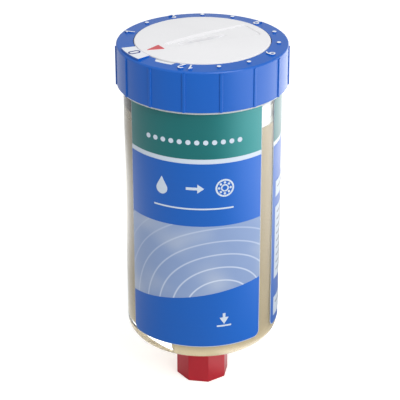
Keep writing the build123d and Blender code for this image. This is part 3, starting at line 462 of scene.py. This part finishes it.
def turned(outline, steps):
    """A closed shape turned round +Z from points (radius, height)."""
    shape = bmesh.new()
    corners = [shape.verts.new((radius, 0.0, height)) for radius, height in outline]
    loop = [shape.edges.new((a, b)) for a, b in zip(corners, corners[1:] + corners[:1])]
    if outline[0][0] == 0 and outline[-1][0] == 0:
        shape.edges.remove(loop.pop())
    bmesh.ops.spin(
        shape, geom=corners + loop, cent=(0, 0, 0), axis=(0, 0, 1), angle=TURN, steps=steps, use_merge=True
    )
    bmesh.ops.remove_doubles(shape, verts=shape.verts, dist=FINE / 20)
    bmesh.ops.recalc_face_normals(shape, faces=shape.faces)
    return shape


def arc(radius, height, size, first, last, segments):
    """Points of an arc round (radius, height), from one angle to another in degrees."""
    turns = [radians(first + (last - first) * step / segments) for step in range(segments + 1)]
    return [(radius + size * cos(turn), height + size * sin(turn)) for turn in turns]


def thread_core(height):
    """Radius at the bottom of the outlet's taper thread."""
    gauge = SPIGOT_END + THREAD_GAUGE_LENGTH
    return THREAD_GAUGE_RADIUS - THREAD_DEPTH + (height - gauge) * THREAD_GROWTH


def cut_thread(shape, low, high, offset):
    """Moves the rows between two heights to a right-handed thread."""
    for vertex in shape.verts:
        height, radius = vertex.co.z, vertex.co.xy.length
        if not low - FINE <= height <= high + FINE or abs(radius - thread_core(height) - offset) > 2 * FINE:
            continue
        turn = atan2(vertex.co.y, vertex.co.x) / TURN
        phase = (height / THREAD_PITCH - turn) % 1.0
        crest = min(max(1.12 - 1.3 * abs(2 * phase - 1), 0.0), 1.0)
        ends = min((height - low) / THREAD_PITCH, (high - height) / THREAD_PITCH, 1.0)
        rise = THREAD_RIDGE * crest * max(ends, 0.0)
        vertex.co.x *= (radius + rise) / radius
        vertex.co.y *= (radius + rise) / radius


def thread_rows(low, high, offset):
    """Points up the wall of the thread, close enough together to carry its ridges."""
    count = round((high - low) / (THREAD_PITCH / 12))
    heights = [low + (high - low) * step / count for step in range(count + 1)]
    return [(thread_core(height) + offset, height) for height in heights]


def cut_away(piece, tool):
    """Cuts a bmesh tool out of a piece."""
    mesh = bpy.data.meshes.new("tool")
    tool.to_mesh(mesh)
    tool.free()
    cutter = bpy.data.objects.new("tool", mesh)
    bpy.context.scene.collection.objects.link(cutter)
    cut = piece.modifiers.new("cut", "BOOLEAN")
    cut.operation = "DIFFERENCE"
    cut.object = cutter
    cut.solver = "EXACT"
    bpy.context.view_layer.update()
    graph = bpy.context.evaluated_depsgraph_get()
    done = bpy.data.meshes.new_from_object(piece.evaluated_get(graph))
    piece.modifiers.clear()
    old, piece.data = piece.data, done
    done.name = old.name + "_cut"
    bpy.data.meshes.remove(old)
    bpy.data.objects.remove(cutter)
    bpy.data.meshes.remove(mesh)


def show_with(material, *nodes):
    """Gives CAD nodes a finish."""
    for node in nodes:
        slots = NODES[node].data.materials
        slots.clear()
        slots.append(material)


class LubricatorStep:
    """What every step of the build shares."""

    bl_options = {"REGISTER", "UNDO"}

    @classmethod
    def sizes(cls, context):
        return context.scene.lubricator_sizes

    @classmethod
    def colours(cls, context):
        return context.scene.lubricator_colours


# ------------------------------------------------------------------------------ pieces
class LUBRICATOR_OT_container(LubricatorStep, bpy.types.Operator):
    """Builds the clear container with its threaded outlet"""

    bl_idname = "lubricator.container"
    bl_label = "Container"

    def execute(self, context):
        thread_top = SPIGOT_END + THREAD_LENGTH
        collar_low = COLLAR_TOP - COLLAR_THICKNESS
        collar_radius = CONTAINER_HIGH[0]
        bead = RIM - BEAD_DROP
        bead_radius = CONTAINER_RADIUS + BEAD_HEIGHT
        edge = WALL_EDGE_ROUND
        outline = [(OUTLET_RADIUS, SPIGOT_END), *thread_rows(SPIGOT_END, thread_top, 0.0)]
        outline += [(THREAD_TOP_RADIUS, thread_top + THREAD_DEPTH), (THREAD_TOP_RADIUS, UNDERSIDE)]
        outline += arc(CONTAINER_RADIUS - BASE_ROUND, UNDERSIDE + BASE_ROUND, BASE_ROUND, -90, 0, 20)
        outline += [(CONTAINER_RADIUS, bead - BEAD_WIDTH / 2)]
        outline += [(bead_radius, bead - BEAD_TIP / 2), (bead_radius, bead + BEAD_TIP / 2)]
        outline += [(CONTAINER_RADIUS, bead + BEAD_WIDTH / 2)]
        outline += arc(CONTAINER_RADIUS - edge, RIM - edge, edge, 0, 90, 4)
        outline += arc(BORE_RADIUS + edge, RIM - edge, edge, 90, 180, 4)
        outline += arc(BORE_RADIUS - BORE_ROUND, FLOOR_TOP + BORE_ROUND, BORE_ROUND, 0, -90, 16)
        outline += [(OUTLET_RADIUS, FLOOR_TOP)]
        shape = turned(outline, 192)
        cut_thread(shape, SPIGOT_END, thread_top, 0.0)
        material = clear_material("clear_plastic", shade(247, 250, 249))
        add_piece("container_wall", shape, "housing", material, ["container"])
        # The collar's edge is satin, as the mould leaves it
        outline = [(CONTAINER_RADIUS - FINE, collar_low)]
        outline += arc(collar_radius - edge, collar_low + edge, edge, -90, 0, 4)
        outline += arc(collar_radius - edge, COLLAR_TOP - edge, edge, 0, 90, 4)
        outline += [(CONTAINER_RADIUS - FINE, COLLAR_TOP)]
        satin = clear_material("satin_collar", shade(236, 240, 240), 0.35, clearness=0.35)
        add_piece("container_collar", turned(outline, 192), "housing", satin, ["container"])
        return {"FINISHED"}


class LUBRICATOR_OT_grease(LubricatorStep, bpy.types.Operator):
    """Builds the grease charge, which wets the container's wall and follows the piston"""

    bl_idname = "lubricator.grease"
    bl_label = "Grease"

    def execute(self, context):
        wet = BORE_RADIUS + FINE
        low = FLOOR_TOP - FINE
        corner = BORE_RADIUS - BORE_ROUND
        bed_top = FLOOR_TOP + BORE_ROUND
        top = PISTON_LOW[2] - GREASE_GAP
        shoulder = PISTON_ROUND + GREASE_GAP
        outline = [(0.0, low)]
        outline += arc(corner, bed_top, BORE_ROUND + FINE, -90, 0, 16)
        outline += [(wet, top + shoulder)]
        outline += arc(PISTON_HIGH[0] - PISTON_ROUND, top + shoulder, shoulder, 0, -90, 12)
        outline += [(0.0, top)]
        shape = turned(outline, 144)
        # A pocket of air at the bottom corner, left of the front
        for vertex in shape.verts:
            turn, radius = atan2(vertex.co.y, vertex.co.x), vertex.co.xy.length
            turn -= TURN if turn > pi / 2 else 0
            drop = bed_top - vertex.co.z
            if drop > FINE and radius > corner + FINE and POCKET_START < turn < POCKET_END:
                share = sin(pi * min(1.0, drop / (0.3 * BORE_ROUND)) / 2)
                side = min(1.0, (turn - POCKET_START) / radians(20))
                middle = Vector((cos(turn), sin(turn), 0)) * corner + Vector((0, 0, bed_top))
                vertex.co += (middle - vertex.co).normalized() * POCKET_DEPTH * share * side
        grease = self.colours(context).grease
        plain = {"Scuffs": 0.0}
        material = moulded("grease", grease, 0.9, 0.5, 500.0, 0.2 * MM, extra=plain, Specular_IOR_Level=0.1)
        # Painted light: the grease is made paler towards the rounded base, standing in for light that reaches
        # it there
        tree = material.node_tree
        share = smooth(tree, height_above_floor(tree), bed_top, FLOOR_TOP + 0.5 * MM)
        tones = (toned(grease, 0.9), toned(grease, 1.15))
        vary(material, share, Colour=(grease, toned(grease, 1.24)), Tone=tones)
        piece = add_piece("grease_fill", shape, None, material, ["grease_charge"], 60)
        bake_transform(piece)
        return {"FINISHED"}


class LUBRICATOR_OT_ring(LubricatorStep, bpy.types.Operator):
    """Finishes the top ring and its months scale"""

    bl_idname = "lubricator.ring"
    bl_label = "Top ring"

    def execute(self, context):
        colours = self.colours(context)
        even = {"Spread": 0.08}
        show_with(moulded("blue_plastic", colours.ring_blue, 0.94, 0.34, 3500.0, extra=even), "top_ring")
        worn = {"Scuffs": 0.6}
        white = moulded("white_ink", colours.scale_white, 0.96, 0.4, 6000.0, extra=worn)
        show_with(white, "scale_marks", "zero_field", "notch_field")
        show_with(moulded("blue_ink", shade(30, 44, 120), 1.2, 0.4, 6000.0), "zero_mark")
        return {"FINISHED"}


class LUBRICATOR_OT_dial(LubricatorStep, bpy.types.Operator):
    """Finishes the setting dial"""

    bl_idname = "lubricator.dial"
    bl_label = "Setting dial"

    def execute(self, context):
        colours = self.colours(context)
        white = colours.dial_white
        material = moulded("white_plastic", white, 0.97, 0.55, 3000.0, Specular_IOR_Level=0.12)
        # Painted shade: steep faces of the trough round the coin slot get a darker white, fully near the
        # dial's top and a quarter as much low in the slot, to tone down the key lamp's light on them; the
        # piston, which shares this finish, gets the quarter share on its steep sides
        tree = material.node_tree
        normal = add_node(tree, "ShaderNodeNewGeometry").outputs["Normal"]
        upward = add_node(tree, "ShaderNodeSeparateXYZ", {"Vector": normal}).outputs["Z"]
        steep = combine(tree, "SUBTRACT", 1.0, smooth(tree, upward, 0.8, 0.99))
        bottom, top = DIAL_TOP - 1.9 * MM, DIAL_TOP - 1.1 * MM
        shallow = smooth(tree, height_above_floor(tree), bottom, top, 0.25, 1.0)
        painted_shade_level = combine(tree, "SUBTRACT", 1.0, combine(tree, "MULTIPLY", steep, shallow))
        tones = (toned(white, 0.84), toned(white, 0.97))
        vary(material, painted_shade_level, Colour=(toned(white, 0.86), white), Tone=tones)
        show_with(material, "timing_dial", "piston")
        natural = moulded("natural_plastic", toned(white, 0.93), 0.946, 0.42, 2500.0)
        show_with(natural, "cell_carrier")
        show_with(moulded("red_inlay", shade(208, 78, 86), 0.95, 0.35, 4000.0), "dial_pointer")
        return {"FINISHED"}


class LUBRICATOR_OT_plug(LubricatorStep, bpy.types.Operator):
    """Builds the closure plug with its inner thread, and finishes its gasket"""

    bl_idname = "lubricator.plug"
    bl_label = "Closure plug"

    def execute(self, context):
        material = moulded("red_plastic", self.colours(context).pointer_red, 0.92, 0.34, 3000.0)
        height = PLUG_TOP
        shape = bmesh.new()
        flat = PLUG_FLATS / 2 / cos(radians(22.5))
        turn = Matrix.Rotation(PLUG_ANGLE + radians(22.5), 4, "Z")
        bmesh.ops.create_cone(
            shape, cap_ends=True, segments=8, radius1=flat, radius2=flat, depth=height,
            matrix=Matrix.Translation((0, 0, height / 2)) @ turn,
        )

        def soften(edges, offset):
            bmesh.ops.bevel(
                shape, geom=edges, offset=offset, offset_type="OFFSET", segments=3, profile=0.5,
                affect="EDGES", clamp_overlap=True, material=-1,
            )

        def edges_between(low, high):
            return [edge for edge in shape.edges if all(low < vertex.co.z < high for vertex in edge.verts)]

        upright = [edge for edge in shape.edges if abs(edge.verts[0].co.z - edge.verts[1].co.z) > height / 2]
        soften(upright, PLUG_CORNER_ROUND)
        soften(edges_between(-FINE, FINE), PLUG_FOOT_ROUND)
        soften(edges_between(height - FINE, height + FINE), PLUG_RIM_ROUND)
        piece = add_piece("plug_body", shape, "plug", material, ["closure_plug"], 30)
        above = height + 1.0 * MM
        thread_top = height - PLUG_THREAD_DROP
        lead = THREAD_DEPTH * tan(PLUG_LEAD_ANGLE)
        outline = [(0.0, PLUG_FLOOR), (PLUG_BORE_RADIUS, PLUG_FLOOR)]
        outline += [(PLUG_BORE_RADIUS, SPIGOT_END - 0.6 * MM)]
        outline += thread_rows(SPIGOT_END, thread_top, PLUG_CLEARANCE)
        outline += [(PLUG_BORE_RADIUS, thread_top + 0.3 * MM), (PLUG_BORE_RADIUS, height - THREAD_DEPTH)]
        outline += [(PLUG_BORE_RADIUS + lead, height), (PLUG_BORE_RADIUS + lead, above), (0.0, above)]
        bore = turned(outline, 128)
        cut_thread(bore, SPIGOT_END, thread_top, PLUG_CLEARANCE)
        cut_away(piece, bore)
        gate = bmesh.new()
        side = Matrix.Rotation(PLUG_ANGLE - radians(135), 4, "Z") @ Matrix.Rotation(radians(90), 4, "Y")
        place = Matrix.Translation((0, 0, height - GATE_DROP)) @ side
        place = place @ Matrix.Translation((0, 0, PLUG_FLATS / 2))
        bmesh.ops.create_cone(
            gate,
            cap_ends=True,
            segments=32,
            radius1=GATE_RADIUS,
            radius2=GATE_RADIUS + 0.05 * MM,
            depth=0.6 * MM,
            matrix=place,
        )
        cut_away(piece, gate)
        piece.data.set_sharp_from_angle(angle=radians(30))
        even = piece.modifiers.new("even_normals", "WEIGHTED_NORMAL")
        even.keep_sharp = True
        even.weight = 90
        show_with(moulded("gasket_rubber", shade(205, 196, 186), 0.9, 0.6, 5000.0, 0.02 * MM), "plug_gasket")
        return {"FINISHED"}


class LUBRICATOR_OT_labels(LubricatorStep, bpy.types.Operator):
    """Finishes the front and back labels"""

    bl_idname = "lubricator.labels"
    bl_label = "Labels"

    def execute(self, context):
        colours = self.colours(context)
        clean = {"Scuffs": 0.1}
        film = moulded("label_film", colours.label_white, 0.97, 0.22, 4000.0, 0.005 * MM, 0.3, extra=clean)
        show_with(film, "front_label", "back_label")

        def ink(name, colour, *nodes, fade=None):
            dense = toned(colour, 0.93)
            values = {"Colour": colour, "Dense Colour": dense, "Roughness": 0.33}
            material = finish_material(name, "printed_film", values, 0.004 * MM, 0.3)
            if fade:
                # The field gets paler towards its right edge
                tree = material.node_tree
                wall = add_node(tree, "ShaderNodeGroup", node_tree=named_group("unrolled_wall"))
                share = smooth(tree, wall.outputs["Across"], 2 * MM, 24 * MM)
                vary(material, share, Colour=(colour, fade), Dense_Colour=(dense, fade))
            show_with(material, *nodes)

        green, blue = colours.label_green, colours.label_blue
        ink("green_print", green, "back_label_green")
        ink("blue_print", blue, "back_label_blue")
        ink("front_green_print", green, "front_label_green", fade=toned(green, 1.75))
        ink("front_blue_print", blue, "front_label_blue", "front_label_base", fade=toned(blue, 1.15))
        ink("white_print", colours.label_white, "front_label_marks", "back_label_panels")
        ink("grey_print", colours.line_grey, "back_label_lines")
        show_with(panel_material("pale_print", colours), "front_label_picture")
        return {"FINISHED"}


class LUBRICATOR_OT_timer(LubricatorStep, bpy.types.Operator):
    """Finishes the seals, the cells and the timer inside the head"""

    bl_idname = "lubricator.timer"
    bl_label = "Seals, cells and timer"

    def execute(self, context):
        rubber = moulded("seal_rubber", shade(46, 46, 48), 1.4, 0.6, 5000.0, 0.02 * MM)
        show_with(rubber, "dial_seal", "gas_cell_seal_1", "gas_cell_seal_2")
        silicone = moulded("pale_rubber", shade(216, 214, 206), 0.95, 0.5, 5000.0, 0.02 * MM)
        show_with(silicone, "carrier_seal", "piston_seal_lower", "piston_seal_upper")
        black = moulded("black_plastic", shade(30, 30, 33), 1.5, 0.45, 8000.0, 0.02 * MM)
        show_with(black, "timer_chip", "resistors")
        show_with(moulded("board_resist", shade(24, 92, 62), 0.85, 0.3, 5000.0), "circuit_board")

        def metal(name, colour, tarnish, *nodes):
            values = {"Colour": colour, "Tarnish": tarnish, "Roughness": 0.25}
            show_with(finish_material(name, "drawn_metal", values, 0.01 * MM, 0.3, Metallic=1.0), *nodes)

        cells = ("battery_1", "battery_2", "gas_cell_1", "gas_cell_2")
        metal("cell_steel", shade(198, 198, 196), shade(150, 148, 142), *cells)
        metal("spring_steel", shade(176, 176, 178), shade(120, 118, 116), "battery_strip", "detent_spring")
        springs = [f"contact_spring_{count}" for count in range(1, 5)]
        metal("contact_bronze", shade(206, 164, 96), shade(140, 100, 60), "contact_pads", "wiper", *springs)
        return {"FINISHED"}


class LUBRICATOR_OT_stage(LubricatorStep, bpy.types.Operator):
    """Adds the floor, the soft light and the camera"""

    bl_idname = "lubricator.stage"
    bl_label = "Floor, light and camera"

    def reflected_left(self, tree, right, behind, away):
        """Painted reflection: the glow that reflections see on the floor at the left, pale, dim in front,
        brightest about 15 cm out.
        """
        front = combine(tree, "MULTIPLY", behind, -1.0)
        turn = combine(tree, "ARCTAN2", combine(tree, "ABSOLUTE", right), front)
        pale = smooth(tree, turn, radians(15), radians(150), 0.03, 0.95)
        rise, fall = smooth(tree, away, 0.08, 0.14), smooth(tree, away, 0.16, 0.23, 1.0, 0.0)
        swell = combine(tree, "ADD", combine(tree, "MULTIPLY", rise, fall), 1.0)
        pale = combine(tree, "MULTIPLY", pale, swell)
        return combine(tree, "MULTIPLY", pale, smooth(tree, right, 0.0, 0.06, 1.0, 0.4))

    def reflected_right(self, tree, right, behind, away):
        """Painted reflection: the glow that reflections see on the floor at the right, a bright field and a
        small one by the plug.
        """
        edge = combine(tree, "ADD", right, combine(tree, "MULTIPLY", behind, 0.35))
        bright = smooth(tree, edge, 0.02, 0.24, 0.0, 3.0)
        bright = combine(tree, "MULTIPLY", bright, smooth(tree, right, -0.01, 0.03))
        beside = smooth(tree, right, 0.006, 0.016)
        close = combine(tree, "MULTIPLY", beside, smooth(tree, away, 0.025, 0.045, 1.6, 0.0))
        return combine(tree, "ADD", bright, close)

    def floor_material(self, sizes):
        """White to the camera. Reflections and clear plastic see it in other strengths, as painted
        reflections at both sides and painted light near the plug.
        """
        material, tree, shader, output = start_material("floor")
        path = add_node(tree, "ShaderNodeLightPath")
        glossy, through = path.outputs["Is Glossy Ray"], path.outputs["Is Transmission Ray"]
        place = add_node(tree, "ShaderNodeTexCoord").outputs["Object"]
        azimuth = sizes.camera_azimuth

        def along(direction):
            sockets = {0: place, 1: direction}
            return add_node(tree, "ShaderNodeVectorMath", sockets, operation="DOT_PRODUCT").outputs["Value"]

        behind = along((-sin(azimuth), cos(azimuth), 0))
        right = along((cos(azimuth), sin(azimuth), 0))
        away = add_node(tree, "ShaderNodeVectorMath", {0: place}, operation="LENGTH").outputs["Value"]
        left_side = self.reflected_left(tree, right, behind, away)
        right_side = self.reflected_right(tree, right, behind, away)
        # Painted reflections: glossy rays see the floor glow in the fields drawn at both sides
        reflected = combine(tree, "MULTIPLY", glossy, combine(tree, "MAXIMUM", left_side, right_side))
        # Painted light: rays through the clear plastic see the floor glow at 3.8 within 5 cm of the plug,
        # fading to 0.65 by 12 cm, which lights the grease at the base
        refracted = combine(tree, "MULTIPLY", through, smooth(tree, away, 0.05, 0.12, 3.8, 0.65))
        seen = combine(tree, "MULTIPLY", path.outputs["Is Camera Ray"], 0.5)
        glow = combine(tree, "ADD", combine(tree, "MAXIMUM", reflected, refracted), seen)
        tree.links.new(glow, shader.inputs["Emission Strength"])
        shader.inputs["Emission Color"].default_value = (1, 1, 1, 1)
        bent = combine(tree, "MAXIMUM", glossy, through)
        ground = blend_colours(tree, bent, (0.86, 0.86, 0.86, 1), (0.02, 0.02, 0.02, 1))
        tree.links.new(ground, shader.inputs["Base Color"])
        shader.inputs["Roughness"].default_value = 0.9
        shader.inputs["Specular IOR Level"].default_value = 0.0
        return material

    def world(self, scene):
        """A white studio, dimmer as a light than as a background."""
        world = bpy.data.worlds.new("studio")
        scene.world = world
        world.use_nodes = True
        tree = world.node_tree
        tree.nodes.clear()
        path = add_node(tree, "ShaderNodeLightPath")
        seen = combine(tree, "MAXIMUM", path.outputs["Is Camera Ray"], path.outputs["Is Transmission Ray"])
        strength = remap(tree, seen, 0.0, 1.0, 0.62, 1.0)
        background = add_node(tree, "ShaderNodeBackground", {"Color": (1, 1, 1, 1), "Strength": strength})
        add_node(tree, "ShaderNodeOutputWorld", {"Surface": background.outputs[0]})

    def execute(self, context):
        scene = context.scene
        sizes = self.sizes(context)
        shape = bmesh.new()
        bmesh.ops.create_grid(shape, x_segments=1, y_segments=1, size=6.0)
        mesh = bpy.data.meshes.new("floor")
        shape.to_mesh(mesh)
        shape.free()
        floor = bpy.data.objects.new("floor", mesh)
        scene.collection.objects.link(floor)
        mesh.materials.append(self.floor_material(sizes))
        self.world(scene)

        def lamp(name, place, target, width, height, power):
            data = bpy.data.lights.new(name, "AREA")
            data.shape = "RECTANGLE"
            data.size = width
            data.size_y = height
            data.energy = power
            light = bpy.data.objects.new(name, data)
            light.location = place
            light.rotation_euler = (Vector(target) - Vector(place)).to_track_quat("-Z", "Y").to_euler()
            scene.collection.objects.link(light)

        lamp("softbox_key", (0.33, -0.38, 0.42), (0, 0, 0.10), 0.3, 0.3, 2.1)
        lamp("softbox_top", (0.05, -0.15, 0.55), (0, 0, 0.10), 0.3, 0.3, 0.3)

        camera = bpy.data.cameras.new("camera")
        camera.lens = sizes.camera_lens
        camera.sensor_width = 36
        camera.shift_x = sizes.camera_shift
        camera.clip_start = 0.01
        camera.clip_end = 20
        view = bpy.data.objects.new("camera", camera)
        azimuth, elevation = sizes.camera_azimuth, sizes.camera_elevation
        back = Vector((sin(azimuth) * cos(elevation), -cos(azimuth) * cos(elevation), sin(elevation)))
        view.location = Vector((0, 0, sizes.camera_height)) + back * sizes.camera_distance
        view.rotation_euler = (-back).to_track_quat("-Z", "Y").to_euler()
        scene.collection.objects.link(view)
        scene.camera = view
        scene.view_settings.view_transform = "Standard"
        return {"FINISHED"}


class LUBRICATOR_PT_panel(bpy.types.Panel):
    """Lists the steps of the build and its sizes and colours"""

    bl_idname = "LUBRICATOR_PT_panel"
    bl_label = "Automatic lubricator"
    bl_space_type = "VIEW_3D"
    bl_region_type = "UI"
    bl_category = "Lubricator"

    def draw(self, context):
        layout = self.layout
        for step in STEPS:
            layout.operator(step.bl_idname)
        for group in (context.scene.lubricator_sizes, context.scene.lubricator_colours):
            box = layout.box()
            for name in group.bl_rna.properties.keys():
                if name not in ("rna_type", "name"):
                    box.prop(group, name)


STEPS = (
    LUBRICATOR_OT_container,
    LUBRICATOR_OT_grease,
    LUBRICATOR_OT_ring,
    LUBRICATOR_OT_dial,
    LUBRICATOR_OT_plug,
    LUBRICATOR_OT_labels,
    LUBRICATOR_OT_timer,
    LUBRICATOR_OT_stage,
)
CLASSES = (LubricatorSizes, LubricatorColours, *STEPS, LUBRICATOR_PT_panel)


def register():
    for item in CLASSES:
        bpy.utils.register_class(item)
    bpy.types.Scene.lubricator_sizes = PointerProperty(type=LubricatorSizes)
    bpy.types.Scene.lubricator_colours = PointerProperty(type=LubricatorColours)


def unregister():
    del bpy.types.Scene.lubricator_colours
    del bpy.types.Scene.lubricator_sizes
    for item in reversed(CLASSES):
        bpy.utils.unregister_class(item)


def main():
    register()
    for step in STEPS:
        group, name = step.bl_idname.split(".")
        getattr(getattr(bpy.ops, group), name)()


if __name__ == "__main__":
    main()
